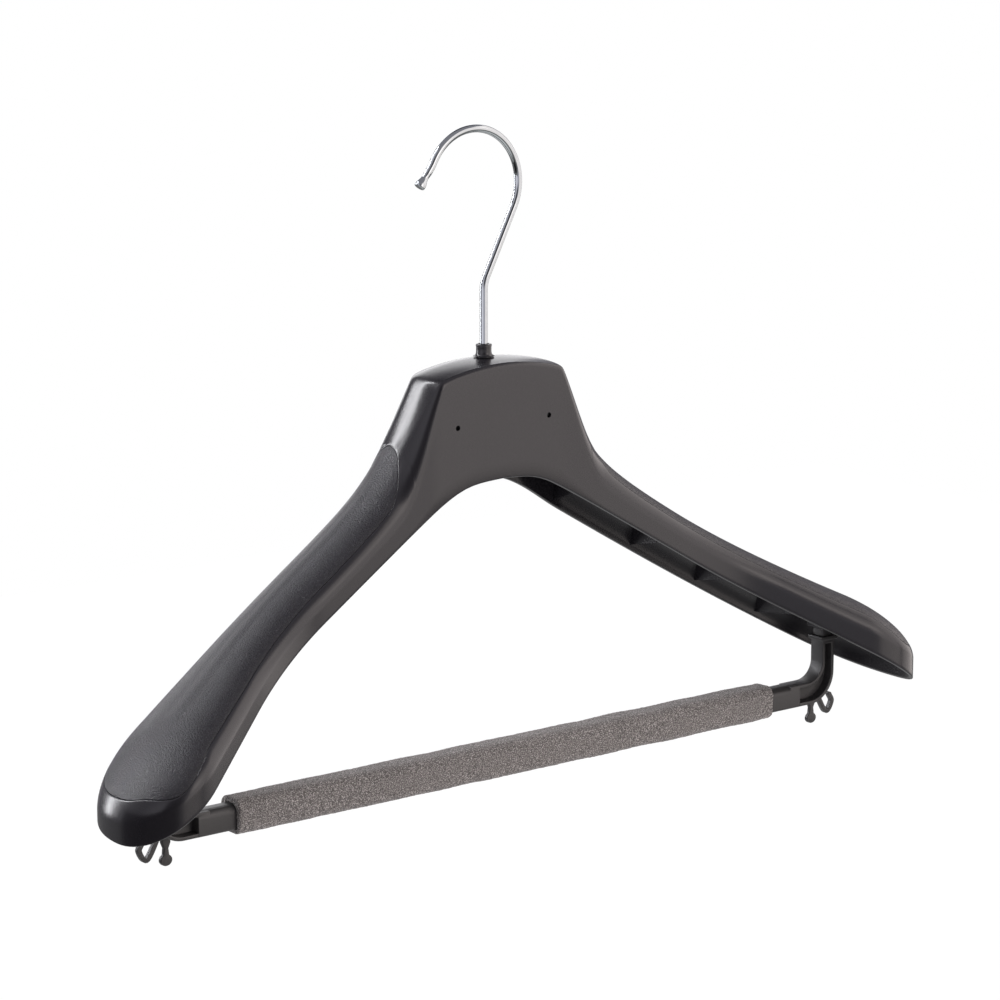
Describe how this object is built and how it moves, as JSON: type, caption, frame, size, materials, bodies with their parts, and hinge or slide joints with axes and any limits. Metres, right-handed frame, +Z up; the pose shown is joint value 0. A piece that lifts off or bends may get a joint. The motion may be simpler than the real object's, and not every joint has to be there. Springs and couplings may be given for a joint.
{
  "type": "suit hanger",
  "caption": "Wide-shouldered moulded suit hanger with a swivelling wire hook, grained shoulder grips and a foam-sleeved trouser bar with skirt hooks.",
  "frame": {"origin": "where the hook rests on the rail: the underside of the hook's arc, straight above the stem's axis", "axes": "+X along the hanger's width to its own left arm, the right one seen from its front, +Y to the back, +Z up along the stem"},
  "size_m": [0.453, 0.0871, 0.3076],
  "materials": {
    "shell": "satin black moulding",
    "grip": "fine grained non-slip surface",
    "hook_chrome": "bright plated wire",
    "bush": "satin black",
    "washer_steel": "plain pressed steel",
    "bar": "satin black moulding",
    "foam": "speckled grey soft foam"
  },
  "bodies": {
    "hook_assembly": {"hook": "hook_chrome", "hook_washer": "washer_steel"},
    "hanger_frame": {"body_shell": "shell", "left_shoulder_grip": "grip", "right_shoulder_grip": "grip", "hook_bush": "bush", "trouser_bar": "bar", "foam_sleeve": "foam"}
  },
  "joints": [
    {"name": "hook_swivel", "type": "hinge", "parent": "hook_assembly", "child": "hanger_frame", "pos_m": [0, 0, -0.10215], "axis": [0, 0, 1], "continuous": true}
  ]
}
